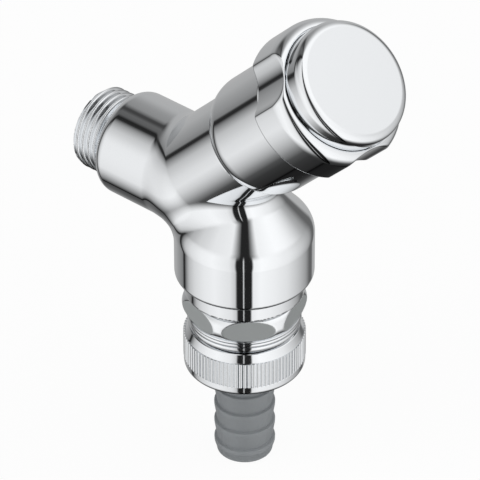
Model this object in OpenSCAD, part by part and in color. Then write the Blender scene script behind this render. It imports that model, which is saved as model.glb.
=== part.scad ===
// Hose tap for a wall outlet with a vacuum breaker in its hose union.
// Cast angle body, forty-five degree headwork under a smooth sleeve, three-fluted
// hand wheel, screwed-in vacuum breaker with a check valve, coupling nut and hose tail.
// The frame: origin in the middle of the inlet shoulder that stops at the wall fitting,
// +X out of the wall, +Z up. Millimetres.

/* [Inlet] */
// Outside diameter of the inlet pipe thread
inlet_thread_d = 20.95; // [20:0.05:22]
// Length of the inlet thread behind the shoulder
inlet_thread_l = 8.5; // [7:0.5:12]
// Diameter of the water way through the inlet
inlet_bore_d = 12; // [10:0.5:13]
// Distance from the inlet shoulder to the outlet axis
outlet_reach = 38; // [37:0.5:44]
// Distance from the inlet shoulder to the crossing of the handle axis
branch_reach = 23.4; // [22:0.2:24]

/* [Body] */
// Outside diameter of the inlet arm
arm_d = 26.4; // [25.6:0.1:27]
// Radius of the rounded shoulder behind the inlet thread
shoulder_r = 3.4; // [2:0.2:4.2]
// Outside diameter of the outlet barrel
barrel_d = 34; // [33:0.5:37]
// Height under the inlet axis where the outlet barrel begins to round into its dome
barrel_top = -10.1; // [-11.5:0.1:-9.5]
// Radius of the rounding between the barrel and its dome
dome_r = 6; // [4:0.2:8]
// Half angle of the dome's cone
dome_angle = 41.6; // [38:0.2:46]
// Height of the crease over the tapered skirt
barrel_crease = -21.2; // [-23:0.1:-20]
// Height of the lower rim of the body
barrel_foot = -26.8; // [-29:0.1:-26]
// Outside diameter of the lower rim of the body
rim_d = 29.4; // [28.6:0.1:30]

/* [Handle arm] */
// Angle of the handle axis above the inlet axis
handle_angle = 45; // [43:0.5:47]
// Outside diameter of the handle arm
handle_arm_d = 26.6; // [26.5:0.1:27.2]
// Distance along the handle axis to the end of the cast arm
arm_end = 26.5; // [25.5:0.1:28]
// Distance along the handle axis to the valve seat
seat_at = 4; // [3.6:0.1:4.6]
// Diameter of the seat port
seat_port_d = 11; // [9:0.2:11.6]
// Lift of the valve from closed to fully open
valve_lift = 4.5; // [3:0.1:4.6]
// Thread diameter of the headwork in the arm
headwork_thread_d = 20; // [19:0.1:20.6]

/* [Sleeve and hand wheel] */
// Outside diameter of the smooth sleeve over the headwork
sleeve_d = 30.3; // [29.6:0.1:31]
// Wall of the sleeve
sleeve_wall = 1.2; // [0.8:0.1:1.4]
// Distance along the handle axis to the back of the hand wheel
wheel_back = 51; // [50:0.1:54]
// Outside diameter of the hand wheel over its lands
wheel_d = 36.3; // [35.6:0.1:38]
// Length of the cylindrical part of the hand wheel
wheel_land_l = 7.8; // [7:0.1:9]
// Length of the rounded front shoulder of the hand wheel
wheel_round_l = 3.5; // [3:0.1:4]
// Number of finger flutes around the hand wheel
flutes = 3; // [3:1:6]
// Concave radius of a finger flute
flute_r = 14; // [12:0.5:20]
// Distance from the handle axis to the floor of a flute
flute_floor = 15.7; // [15.4:0.1:16.6]
// Turned place of the first flute when the tap is shut
flute_start = 113; // [0:1:359]
// Diameter of the cap on the hand wheel
cap_d = 30.4; // [29.6:0.1:30.8]
// Radius of the rounded edge of the cap
cap_edge_r = 2.2; // [1:0.1:2.4]

/* [Vacuum breaker] */
// Thread diameter of the breaker, in the body and under the coupling nut
breaker_thread_d = 26.44; // [26:0.02:26.8]
// Diameter of the rounded collar over its corners
collar_d = 30.5; // [30:0.1:31]
// Distance across the spanner flats of the collar
collar_flats = 27.4; // [27:0.1:28]
// Height of the middle of the collar
collar_mid = -30.35; // [-31:0.05:-30.3]
// Height of the lower end of the breaker nipple
nipple_foot = -42.4; // [-45:0.1:-42]
// Diameter of the chamber that holds the check valve
chamber_d = 20.4; // [19.6:0.1:21]
// Number of air ports round the neck
air_ports = 8; // [6:1:12]
// Diameter of one air port
air_port_d = 1.2; // [0.8:0.1:1.4]
// Travel of the check valve poppet
poppet_travel = 3; // [2:0.1:3.2]
// Turns of the check valve spring
spring_turns = 5; // [3:1:7]
// Wire diameter of the check valve spring
spring_wire = 0.7; // [0.4:0.05:0.8]

/* [Hose union] */
// Outside diameter of the coupling nut
nut_d = 30; // [29.6:0.1:31.4]
// Height of the top face of the coupling nut
nut_top = -37.2; // [-38:0.1:-37.1]
// Number of knurls round the coupling nut
knurls = 88; // [60:1:100]
// Depth of the knurls
knurl_depth = 0.35; // [0.2:0.05:0.5]
// Height of the knurled band
knurl_h = 7; // [5:0.1:7.2]
// Root diameter of the hose tail
tail_root_d = 14.3; // [13:0.1:15]
// Diameter of the hose tail over its barbs
tail_barb_d = 15.1; // [14:0.1:15.4]
// Water way through the hose tail
tail_bore_d = 10; // [8:0.2:10.6]
// Number of barbs
barbs = 4; // [2:1:4]
// Distance from one barb to the next
barb_pitch = 5.5; // [5:0.1:6]
// Height of the first groove of the hose tail
first_barb = -55.3; // [-56.5:0.1:-54.6]

/* [Fits] */
// Radial clearance of a running fit
running = 0.05; // [0.02:0.01:0.1]
// Radial clearance between two screwed threads drawn as plain cylinders
thread_gap = 0.05; // [0.02:0.01:0.1]
// Gap between two covers that turn past each other
cover_gap = 0.4; // [0.3:0.05:0.6]

/* [Hidden] */
$fn = 96;
eps = 0.01;

arm_r = arm_d / 2;
handle_arm_r = handle_arm_d / 2;
barrel_r = barrel_d / 2;
inlet_r = inlet_thread_d / 2;
inlet_chamfer = 0.8;
headwork_r = headwork_thread_d / 2;
breaker_r = breaker_thread_d / 2;

// The seat and the chamber behind it, as distances along the handle axis
seat_lip = 1.2;
seat_wall = 1.4;
chamber_r = headwork_r - 0.7;
housing_foot = seat_at + valve_lift + 7.7;
seal_wire = 1.8;
mouth_seat = arm_end - seal_wire;

// The headwork housing
hex_flats = 22;
hex_top = arm_end + 6;
guide_r = 8.5;
guide_top = wheel_back - 5;
piston_hex_r = 6.6;
hex_room = 0.3;
cavity_top = housing_foot + 10.8;
stem_r = 4;
stem_shoulder_r = 5;
stem_shoulder_l = 2.5;
stem_shoulder_at = cavity_top + 0.3;
stem_seals = 2;
stem_seal_wire = 1.5;
stem_seal_pitch = 4;
first_stem_seal = stem_shoulder_at + stem_shoulder_l + 4;
seal_squeeze = 0.05;
circlip_t = 0.8;
circlip_r = 5.4;

// The piston and its washer
washer_r = seat_port_d / 2 + 1.9;
washer_t = 3.2;
washer_proud = 1;
cup_r = washer_r + 0.9;
cup_floor = seat_at + washer_t;
cup_top = seat_at + 6.5;
piston_top = cup_top + 11.5;
spindle_thread_r = 3.5;
spindle_foot = seat_at + valve_lift + 8.7;
spindle_hole_foot = seat_at + 8;
washer_screw_r = 2;
washer_screw_head_r = 3.6;
washer_screw_head_t = 1.4;
seat_gap = 0.05;

// The hand wheel and its cap, along the handle axis
wheel_r = wheel_d / 2;
cap_r = cap_d / 2;
land_end = wheel_back + wheel_land_l;
wheel_front = land_end + wheel_round_l;
cap_face = wheel_front + 5.7;
cap_wall = 1.2;
cap_seat = wheel_front - 2.4;
web_back = cap_seat - 2.2;
hub_r = 7.4;
insert_r = 5.8;
spline_r = 3.6;
spline_l = 8;
spline_top = web_back + 0.6;
screw_r = 2;
screw_head_r = 4.4;
screw_head_t = 2.4;
screw_l = 10;
edge_r = 0.6;

// The sleeve
sleeve_r = sleeve_d / 2;
sleeve_back = arm_end + 0.1;
sleeve_back_r = handle_arm_r + 0.25;
sleeve_front = wheel_back - cover_gap;
sleeve_round_l = 4.6;

// The vacuum breaker, heights under the inlet axis
body_ledge = -12;
gasket_t = 1.8;
spigot_top = body_ledge - gasket_t;
waterway_r = 6.5;
waterway_top = 0.5;
collar_r = collar_d / 2;
collar_bulge_r = 3.5;
collar_neck_r = 13.5;
collar_half_h = sqrt(pow(collar_bulge_r, 2) - pow(collar_bulge_r - (collar_r - collar_neck_r), 2));
rim_gap = 0.3;
flat_start = 15;
neck_top = collar_mid - collar_half_h;
lip_r = [14, 13.9, 13.8];
lip_h = [0.5, 0.9, 1.2];
lip_groove = 0.2;
lip_foot = neck_top - 3.1;
relief_r = breaker_r - 0.7;
relief_h = 1.4;
chamber_foot = collar_mid - 3.5;
nipple_bore_r = chamber_d / 2 - 1.2;
port_height = lip_foot - 0.75;

// The check valve inside the breaker
cage_r = chamber_d / 2 - running;
cage_top = spigot_top - 0.1;
cage_foot = chamber_foot + 1;
cage_seat_r = 5.6;
cage_seat_h = 3.4;
cage_room_r = 8.4;
cage_groove_z = cage_top - 1.9;
cage_seal_wire = 1.4;
poppet_r = 7.2;
poppet_t = 2;
poppet_top = cage_top - cage_seat_h - 0.6;
poppet_stem_r = 1.4;
poppet_seal_wire = 1.2;
spider_top = cage_foot + 4.2;
spider_t = 2;
spider_hub_r = 2.8;
poppet_stem_foot = spider_top - spider_t - 1;
spring_r = 3.4;
vent_wall = 0.75;
vent_foot = port_height - 2.4;

// The hose union, heights under the inlet axis
nut_r = nut_d / 2;
washer_h = 1.9;
tail_head_t = 2;
tail_head_top = nipple_foot - washer_h - 0.1;
nut_floor = tail_head_top - tail_head_t;
nut_foot = nut_floor - 2.6;
knurl_top = nut_top - 2.2;
tail_root_r = tail_root_d / 2;
tail_barb_r = tail_barb_d / 2;
barb_rise = 1.5;
tail_foot = first_barb - (barbs - 1) * barb_pitch - 4.2;

// Places a piece on the handle axis, with its own z along that axis
module on_handle() translate([branch_reach, 0, 0]) rotate([0, 90 - handle_angle, 0]) children();

// Places a piece on the outlet axis
module on_outlet() translate([outlet_reach, 0, 0]) children();

// A turned piece from its half outline, given as radius and height
module turned(outline) rotate_extrude() polygon(outline);

// A plain round wall between two heights
module round_wall(r, low, high) translate([0, 0, low]) cylinder(r = r, h = high - low);

// A round seal of circular section
module ring_seal(mid_r, wire, at) translate([0, 0, at]) rotate_extrude() translate([mid_r, 0])
    circle(d = wire, $fn = 24);

// Points of an arc, counted in degrees from the first to the last
function arc(cx, cy, r, from, to, steps) =
    [for (i = [0 : steps]) let (a = from + (to - from) * i / steps) [cx + r * cos(a), cy + r * sin(a)]];

// The domed top of the outlet barrel: a rounding, then a cone that ends inside the handle arm
function dome(steps) = let (rounding = arc(barrel_r - dome_r, barrel_top, dome_r, 0, dome_angle, steps),
    last = rounding[steps], tip_r = 5)
    concat(rounding, [[tip_r, last[1] + (last[0] - tip_r) / tan(dome_angle)],
        [0, last[1] + (last[0] - tip_r) / tan(dome_angle)]]);

// Keeps what lies before (side -1) or behind (side 1) the mitre plane of the two arms
module mitred(side) intersection() {
    children();
    translate([branch_reach, 0, 0]) rotate([0, 90 - handle_angle / 2, 0])
        translate([-60, -60, side < 0 ? -120 : 0]) cube(120);
}

module inlet_arm() mitred(-1) rotate([0, 90, 0]) turned(concat([[0, 0]],
    [[arm_r - shoulder_r, 0]],
    arc(arm_r - shoulder_r, shoulder_r, shoulder_r, -70, 0, 12),
    [[arm_r, branch_reach + arm_r], [0, branch_reach + arm_r]]));

module inlet_nipple() rotate([0, -90, 0]) turned([[0, -shoulder_r], [inlet_r, -shoulder_r],
    [inlet_r, inlet_thread_l - inlet_chamfer], [inlet_r - inlet_chamfer, inlet_thread_l],
    [0, inlet_thread_l]]);

module handle_arm() mitred(1) on_handle() round_wall(handle_arm_r, -arm_r, arm_end);

module outlet_barrel() on_outlet() turned(concat([[0, barrel_foot], [rim_d / 2, barrel_foot]],
    [for (i = [1 : 9]) let (k = i / 10) [
        rim_d / 2 + (barrel_r - rim_d / 2) * pow(k, 0.82),
        barrel_foot + (barrel_crease - barrel_foot) * k]],
    [[barrel_r, barrel_crease]],
    dome(8)));

module valve_body() color("gainsboro") difference() {
    union() {
        inlet_nipple();
        inlet_arm();
        handle_arm();
        outlet_barrel();
    }
    // Inlet water way with its drilled end
    rotate([0, 90, 0]) turned([[0, -inlet_thread_l - 1], [inlet_bore_d / 2, -inlet_thread_l - 1],
        [inlet_bore_d / 2, branch_reach + 1], [0, branch_reach + 4.5]]);
    on_handle() {
        // Seat port, then the chamber round the raised seat
        round_wall(seat_port_d / 2, 0, seat_at + eps);
        difference() {
            round_wall(chamber_r, seat_at - seat_lip, arm_end);
            round_wall(seat_port_d / 2 + seat_wall, 0, seat_at);
        }
        // Thread and seal seat of the headwork
        round_wall(headwork_r + thread_gap, housing_foot - 0.2, arm_end + eps);
        round_wall(headwork_r + seal_wire + 2 * seal_squeeze, mouth_seat, arm_end + eps);
    }
    on_outlet() {
        round_wall(waterway_r, body_ledge - eps, waterway_top);
        round_wall(breaker_r + thread_gap, barrel_foot - eps, body_ledge);
    }
}

module hex_prism(corner_r, low, high) translate([0, 0, low])
    cylinder(r = corner_r, h = high - low, $fn = 6);

module headwork_housing() color("goldenrod") on_handle() difference() {
    union() {
        round_wall(headwork_r, housing_foot, arm_end + eps);
        intersection() {
            hex_prism(hex_flats / sqrt(3), arm_end, hex_top);
            turned([[0, arm_end], [12.2, arm_end], [12.6, arm_end + 0.6], [12.6, hex_top - 0.9],
                [11.6, hex_top], [0, hex_top]]);
        }
        round_wall(guide_r, hex_top - eps, guide_top);
    }
    hex_prism(piston_hex_r + hex_room, housing_foot - eps, cavity_top);
    round_wall(stem_shoulder_r + running, cavity_top - eps, stem_shoulder_at + stem_shoulder_l + 0.05);
    round_wall(stem_r + running, cavity_top, guide_top + eps);
}

module headwork_seal() color("black") on_handle()
    ring_seal(headwork_r + seal_wire / 2 + seal_squeeze, seal_wire, mouth_seat + seal_wire / 2);

// The non-rising stem: its thread lifts the piston, its spline carries the hand wheel
module spindle() color("darkgoldenrod") on_handle() difference() {
    union() {
        round_wall(spindle_thread_r, spindle_foot, stem_shoulder_at + eps);
        round_wall(stem_shoulder_r, stem_shoulder_at, stem_shoulder_at + stem_shoulder_l);
        round_wall(stem_r, stem_shoulder_at, guide_top + circlip_t + 1);
        round_wall(spline_r, guide_top, spline_top);
    }
    for (i = [0 : stem_seals - 1]) translate([0, 0, first_stem_seal + i * stem_seal_pitch])
        rotate_extrude() translate([stem_r - stem_seal_wire + running, -stem_seal_wire / 2 - 0.1])
            square([stem_seal_wire, stem_seal_wire + 0.2]);
    translate([0, 0, guide_top + 0.05]) rotate_extrude() translate([stem_r - 0.6, 0])
        square([1, circlip_t + 0.1]);
    round_wall(screw_r + thread_gap, spline_top - screw_l - 0.5, spline_top + eps);
}

module spindle_seals() color("black") on_handle() for (i = [0 : stem_seals - 1])
    ring_seal(stem_r + running - stem_seal_wire / 2, stem_seal_wire - 2 * seal_squeeze,
        first_stem_seal + i * stem_seal_pitch);

module spindle_circlip() color("dimgray") on_handle() difference() {
    round_wall(circlip_r, guide_top + 0.1, guide_top + 0.1 + circlip_t);
    round_wall(stem_r - 0.5, guide_top, guide_top + 2);
    translate([0, -1.4, guide_top]) cube([circlip_r + 1, 2.8, 2]);
}

// Washer holder with a hexagon that stops it turning in the housing
module valve_piston() color("goldenrod") on_handle() difference() {
    union() {
        round_wall(cup_r, seat_at + washer_proud, cup_top);
        hex_prism(piston_hex_r, cup_top - eps, piston_top);
    }
    round_wall(washer_r + running, seat_at, cup_floor);
    round_wall(washer_screw_r + thread_gap, cup_floor - eps, cup_floor + 3.4);
    round_wall(spindle_thread_r + thread_gap, spindle_hole_foot, piston_top + eps);
}

module seat_washer() color("black") on_handle() difference() {
    round_wall(washer_r, seat_at + seat_gap, cup_floor);
    round_wall(washer_screw_r + running, seat_at, cup_floor + eps);
}

module washer_screw() color("silver") on_handle() difference() {
    union() {
        turned([[0, seat_at - washer_screw_head_t], [washer_screw_head_r - 0.5,
            seat_at - washer_screw_head_t], [washer_screw_head_r, seat_at - washer_screw_head_t + 0.5],
            [washer_screw_head_r, seat_at + seat_gap], [0, seat_at + seat_gap]]);
        round_wall(washer_screw_r, seat_at, cup_floor + 3);
    }
    translate([-washer_screw_head_r, -0.4, seat_at - washer_screw_head_t - eps])
        cube([2 * washer_screw_head_r, 0.8, 0.7]);
}

// Smooth sleeve: rounded back, open front, an inner web screwed on the housing
module bonnet_sleeve() color("gainsboro") on_handle() difference() {
    rise = sleeve_r - sleeve_back_r;
    bend_r = (pow(sleeve_round_l, 2) + pow(rise, 2)) / (2 * rise);
    bend_end = asin(sleeve_round_l / bend_r);
    turned(concat([[0, sleeve_back], [sleeve_back_r, sleeve_back]],
        arc(sleeve_r - bend_r, sleeve_back + sleeve_round_l, bend_r, -bend_end, 0, 10),
        [[sleeve_r, sleeve_front - edge_r]],
        arc(sleeve_r - edge_r, sleeve_front - edge_r, edge_r, 15, 90, 4),
        [[0, sleeve_front]]));
    round_wall(sleeve_r - sleeve_wall - 0.6, sleeve_back - eps, hex_top + 3);
    round_wall(guide_r + thread_gap, hex_top, sleeve_front + eps);
    round_wall(sleeve_r - sleeve_wall, guide_top - 3, sleeve_front + eps);
}

module spline_insert() color("ivory") on_handle() difference() {
    round_wall(insert_r, spline_top - spline_l, spline_top);
    round_wall(spline_r + running, spline_top - spline_l - eps, spline_top + eps);
}

// Land outline of the hand wheel, from the back edge round the front shoulder
function wheel_outline() = concat(
    [[cap_r - 1.6, wheel_back]],
    arc(wheel_r - edge_r, wheel_back + edge_r, edge_r, -90, 0, 6),
    [for (i = [0 : 12]) let (a = 90 * i / 12) [
        cap_r + 0.4 + (wheel_r - cap_r - 0.4) * cos(a),
        land_end + (wheel_front - land_end) * sin(a)]],
    [[cap_r + running * 2, wheel_front - 0.3], [cap_r + running * 2, cap_seat], [0, cap_seat],
        [0, web_back], [hub_r + 2, web_back], [cap_r - 1.6, web_back - 1.6]]);

module hand_wheel() color("gainsboro") on_handle() difference() {
    union() {
        turned(wheel_outline());
        round_wall(hub_r, spline_top - spline_l, cap_seat - eps);
    }
    for (i = [0 : flutes - 1]) rotate([0, 0, flute_start + i * 360 / flutes])
        translate([flute_floor + flute_r, 0, wheel_back - 1])
            cylinder(r = flute_r, h = wheel_front - wheel_back + 2);
    round_wall(insert_r + running, spline_top - spline_l - eps, spline_top);
    round_wall(screw_r + 0.3, spline_top - eps, cap_seat + eps);
}

module wheel_screw() color("silver") on_handle() difference() {
    union() {
        round_wall(screw_r, cap_seat - screw_l, cap_seat + eps);
        turned([[0, cap_seat], [screw_head_r, cap_seat], [screw_head_r, cap_seat + screw_head_t - 1],
            [screw_head_r - 1, cap_seat + screw_head_t], [0, cap_seat + screw_head_t]]);
    }
    translate([0, 0, cap_seat + screw_head_t - 1.2]) for (a = [0, 90]) rotate([0, 0, a])
        translate([-2.2, -0.45, 0]) cube([4.4, 0.9, 2]);
}

// Smooth cap: flat face, rounded edge, skirt that clips into the hand wheel
module wheel_cap() color("whitesmoke") on_handle() difference() {
    turned(concat([[0, cap_seat + 0.1], [cap_r, cap_seat + 0.1]],
        arc(cap_r - cap_edge_r, cap_face - cap_edge_r, cap_edge_r, 0, 90, 9), [[0, cap_face]]));
    round_wall(cap_r - cap_wall, cap_seat, cap_face - cap_edge_r);
}

module breaker_gasket() color("black") on_outlet() difference() {
    round_wall(breaker_r - 0.2, spigot_top, body_ledge);
    round_wall(chamber_d / 2 - 2.4, spigot_top - eps, body_ledge + eps);
}

// Outline of the breaker from the spigot down over the collar and the turned lips
function lip_top(i) = i == 0 ? neck_top : lip_top(i - 1) - lip_h[i - 1] - lip_groove;
function breaker_outline() = concat(
    [[0, nipple_foot], [breaker_r - 0.8, nipple_foot], [breaker_r, nipple_foot + 0.8],
        [breaker_r, lip_foot - relief_h], [relief_r, lip_foot - relief_h + 0.4], [relief_r, lip_foot]],
    [for (i = [len(lip_r) - 1 : -1 : 0]) each concat(i == len(lip_r) - 1 ? [] :
        [[collar_neck_r, lip_top(i) - lip_h[i] - lip_groove], [collar_neck_r, lip_top(i) - lip_h[i]]],
        [[lip_r[i] - 0.2, lip_top(i) - lip_h[i]], [lip_r[i], lip_top(i) - lip_h[i] + 0.15],
            [lip_r[i], lip_top(i) - 0.15], [lip_r[i] - 0.2, lip_top(i)]])],
    arc(collar_r - collar_bulge_r, collar_mid, collar_bulge_r,
        -asin(collar_half_h / collar_bulge_r), asin(collar_half_h / collar_bulge_r), 18),
    [[collar_neck_r, barrel_foot - rim_gap], [breaker_r, barrel_foot - rim_gap],
        [breaker_r, spigot_top - 0.8], [breaker_r - 0.8, spigot_top], [0, spigot_top]]);

module breaker_housing() color("gainsboro") on_outlet() difference() {
    turned(breaker_outline());
    for (i = [0 : 5]) rotate([0, 0, flat_start + 60 * i])
        translate([collar_flats / 2, -collar_r, neck_top + 0.02])
            cube([collar_r, 2 * collar_r, 2 * collar_half_h]);
    round_wall(chamber_d / 2, chamber_foot, spigot_top + eps);
    round_wall(nipple_bore_r, nipple_foot - eps, chamber_foot + eps);
    for (i = [0 : air_ports - 1]) rotate([0, 0, i * 360 / air_ports])
        translate([nipple_bore_r - 0.5, 0, port_height]) rotate([0, 90, 0])
            cylinder(d = air_port_d, h = relief_r - nipple_bore_r + 2, $fn = 24);
}

module check_cage() color("whitesmoke") on_outlet() difference() {
    round_wall(cage_r, cage_foot, cage_top);
    round_wall(cage_seat_r, cage_top - cage_seat_h - eps, cage_top + eps);
    round_wall(cage_room_r, cage_foot - eps, cage_top - cage_seat_h);
    translate([0, 0, cage_groove_z]) rotate_extrude()
        translate([cage_r - cage_seal_wire + seal_squeeze, -cage_seal_wire / 2 - 0.1])
            square([cage_seal_wire + 1, cage_seal_wire + 0.2]);
}

module cage_seal() color("black") on_outlet()
    ring_seal(cage_r - cage_seal_wire / 2 + seal_squeeze, cage_seal_wire - 2 * seal_squeeze, cage_groove_z);

module check_poppet() color("white") on_outlet() difference() {
    union() {
        turned([[0, poppet_top - poppet_t], [poppet_r, poppet_top - poppet_t],
            [poppet_r, poppet_top - 0.6], [poppet_r - 0.6, poppet_top], [0, poppet_top]]);
        turned([[0, poppet_stem_foot], [poppet_stem_r - 0.3, poppet_stem_foot],
            [poppet_stem_r, poppet_stem_foot + 0.4], [poppet_stem_r, poppet_top], [0, poppet_top]]);
    }
    translate([0, 0, poppet_top + eps]) rotate_extrude()
        translate([cage_seat_r + 0.1, -poppet_seal_wire / 2 - seal_squeeze]) square([poppet_seal_wire, 1]);
}

module poppet_seal() color("black") on_outlet()
    ring_seal(cage_seat_r + 0.1 + poppet_seal_wire / 2, poppet_seal_wire - 0.1,
        poppet_top - seal_squeeze);

// Centre line of the spring, closed turns at both ends
spring_steps = 18;
spring_sides = 6;
spring_high = poppet_top - poppet_t - spring_wire / 2 - 0.05;
spring_low = spider_top + spring_wire / 2 + 0.05;
function spring_point(k) = let (a = 360 * spring_turns * k)
    [spring_r * cos(a), spring_r * sin(a), spring_low + (spring_high - spring_low) * k];
function spring_ring(k) = let (p = spring_point(k), a = 360 * spring_turns * k)
    [for (j = [0 : spring_sides - 1]) let (b = 360 * j / spring_sides)
        p + spring_wire / 2 * [cos(b) * cos(a), cos(b) * sin(a), sin(b)]];

module check_spring() color("silver") on_outlet() {
    rings = spring_turns * spring_steps;
    points = [for (i = [0 : rings]) each spring_ring(i / rings)];
    sides = [for (i = [0 : rings - 1], j = [0 : spring_sides - 1])
        let (n = (j + 1) % spring_sides, a = i * spring_sides, b = a + spring_sides)
            [a + j, a + n, b + n, b + j]];
    ends = [[for (j = [spring_sides - 1 : -1 : 0]) j],
        [for (j = [0 : spring_sides - 1]) rings * spring_sides + j]];
    polyhedron(points, concat(sides, ends));
}

// Spoked guide for the poppet stem, clipped into the cage
module spring_spider() color("whitesmoke") on_outlet() difference() {
    union() {
        difference() {
            round_wall(cage_room_r - running, spider_top - spider_t, spider_top);
            round_wall(cage_room_r - 1.1, spider_top - spider_t - eps, spider_top + eps);
        }
        round_wall(spider_hub_r, spider_top - spider_t, spider_top);
        for (a = [0, 120, 240]) rotate([0, 0, a]) translate([0, -0.6, spider_top - spider_t])
            cube([cage_room_r - 0.6, 1.2, spider_t - 0.4]);
    }
    round_wall(poppet_stem_r + running, spider_top - spider_t - 1, spider_top + 1);
}

// Soft sleeve that closes the air ports under pressure and lets air in without it
module vent_sleeve() color("darkslategray") on_outlet() difference() {
    union() {
        round_wall(cage_r, chamber_foot + 0.05, cage_foot);
        round_wall(nipple_bore_r - running, vent_foot, cage_foot);
    }
    round_wall(nipple_bore_r - vent_wall, vent_foot - eps, cage_foot + eps);
}

module hose_washer() color("black") on_outlet() difference() {
    round_wall(breaker_r - 0.5, tail_head_top + 0.05, nipple_foot - 0.05);
    round_wall(tail_bore_d / 2 + 1, tail_head_top - 1, nipple_foot + 1);
}

// Ring outline with pointed knurls, for the band of the coupling nut
function knurl_ring() = [for (i = [0 : 2 * knurls - 1]) let (a = 180 * i / knurls)
    (nut_r - (i % 2) * knurl_depth) * [cos(a), sin(a)]];

module coupling_nut() color("gainsboro") on_outlet() difference() {
    band_r = nut_r - 0.1;
    union() {
        turned([[0, nut_foot], [band_r - 1.2, nut_foot], [band_r - 0.35, nut_foot + 0.35],
            [band_r, nut_foot + 1.2], [band_r, knurl_top - knurl_h], [band_r - 0.3, knurl_top - knurl_h],
            [band_r - 0.3, knurl_top + 0.2], [nut_r - 1.25, nut_top + 0.15 - 0.15], [0, nut_top]]);
        translate([0, 0, knurl_top - knurl_h]) linear_extrude(knurl_h) polygon(knurl_ring());
    }
    round_wall(breaker_r + thread_gap, nut_floor, nut_top + eps);
    round_wall(tail_root_r + 0.35, nut_foot - eps, nut_floor + eps);
}

// Half outline of one barb: sharp step under the groove, long taper down to the next one
function barb_outline(top) = [[tail_root_r, top], [tail_barb_r - 0.12, top - barb_rise + 0.35],
    [tail_barb_r, top - barb_rise - 0.1], [tail_barb_r - 0.03, top - barb_rise - 0.6]];

module hose_tail() color("slategray") on_outlet() difference() {
    turned(concat([[0, tail_head_top], [breaker_r - 0.6, tail_head_top],
        [breaker_r - 0.6, tail_head_top - tail_head_t + 0.1], [tail_root_r + 0.1,
            tail_head_top - tail_head_t + 0.1]],
        [for (i = [0 : barbs - 1]) each barb_outline(first_barb - i * barb_pitch)],
        [[tail_root_r + 0.15, tail_foot + 1.2], [tail_root_r - 0.25, tail_foot + 0.4],
            [tail_root_r - 0.9, tail_foot], [0, tail_foot]]));
    round_wall(tail_bore_d / 2, tail_foot - eps, tail_head_top + eps);
}

valve_body();
headwork_housing();
headwork_seal();
spindle();
spindle_seals();
spindle_circlip();
valve_piston();
seat_washer();
washer_screw();
bonnet_sleeve();
spline_insert();
hand_wheel();
wheel_screw();
wheel_cap();
breaker_gasket();
breaker_housing();
check_cage();
cage_seal();
check_poppet();
poppet_seal();
check_spring();
spring_spider();
vent_sleeve();
hose_washer();
coupling_nut();
hose_tail();
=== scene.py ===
"""Hose tap with a vacuum breaker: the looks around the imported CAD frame.

Laid out as a Blender add-on and run as a script. The makers of pieces count in millimetres,
and a mesh turns to metres where it is made.
"""

import math

import bmesh
import bpy
import numpy as np
from bpy.props import FloatProperty, FloatVectorProperty, IntProperty, PointerProperty
from mathutils import Matrix, Vector


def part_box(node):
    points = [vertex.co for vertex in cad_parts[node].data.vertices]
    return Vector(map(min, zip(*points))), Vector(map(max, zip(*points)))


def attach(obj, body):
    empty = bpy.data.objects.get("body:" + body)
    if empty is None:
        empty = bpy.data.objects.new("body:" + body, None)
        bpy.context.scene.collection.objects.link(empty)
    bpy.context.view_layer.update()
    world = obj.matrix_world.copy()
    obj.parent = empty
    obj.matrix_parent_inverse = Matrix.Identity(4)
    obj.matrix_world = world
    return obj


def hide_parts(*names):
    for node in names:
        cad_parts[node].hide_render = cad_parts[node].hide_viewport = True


bl_info = {
    "name": "Hose tap with vacuum breaker",
    "version": (1, 0, 0),
    "blender": (4, 5, 0),
    "location": "View3D > Sidebar > Hose tap",
    "description": "Makes the plated pieces, the hose tail and the stage of a garden hose tap",
    "category": "Object",
}

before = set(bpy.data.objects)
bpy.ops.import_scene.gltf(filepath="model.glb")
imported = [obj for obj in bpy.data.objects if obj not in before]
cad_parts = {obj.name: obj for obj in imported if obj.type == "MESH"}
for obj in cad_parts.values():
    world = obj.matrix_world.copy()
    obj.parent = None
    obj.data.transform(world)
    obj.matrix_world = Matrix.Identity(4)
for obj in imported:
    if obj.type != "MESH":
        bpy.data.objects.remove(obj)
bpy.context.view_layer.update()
MM = 0.001


def node_span(node, axis):
    """Lowest and highest place of a CAD node along an axis, in mm."""
    low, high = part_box(node)
    return low[axis] / MM, high[axis] / MM


# Axes of the tap: the inlet runs along X, the outlet down from it, the handle at 45 degrees
OUTLET_X = sum(node_span("coupling_nut", 0)) / 2
BRANCH_X = 23.4
TILT = math.radians(45)

# The casting
ARM_R = 13.2
SHOULDER_R = 3.4
HANDLE_ARM_R = 13.3
ARM_END = 26.5
BARREL_R = 17.0
BARREL_TOP = -10.1
DOME_R = 6.0
DOME_ANGLE = math.radians(41.6)
BARREL_EDGE = -22.0
BARREL_EDGE_R = 1.3
FOOT_RING_R = 14.8
BARREL_FOOT = -26.8
RIM_EDGE_R = 0.5
CAST_ROOM = 0.8

# Water ways and seats inside the casting
INLET_BORE_R = 6.0
INLET_BORE_END = BRANCH_X + 2
SEAT_PORT_R = 5.5
SEAT_AT = 4.0
SEAT_LIP = 1.2
SEAT_WALL = 1.4
CHAMBER_R = 9.3
HEADWORK_BORE_R = 10.05
HEADWORK_FOOT = 16.0
MOUTH_R = 11.9
MOUTH_AT = 24.7
OUTLET_WAY_R = 6.5
OUTLET_WAY_TOP = 0.5
BREAKER_LEDGE = -12.0
BREAKER_BORE_R = 13.27

# The inlet thread, counted from the shoulder
THREAD_CREST_R = 10.475
THREAD_ROOT_R = 9.32
THREAD_END = -node_span("valve_body", 0)[0]
THREAD_CHAMFER = 0.8
THREAD_RUN_OUT = 1.1

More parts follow.
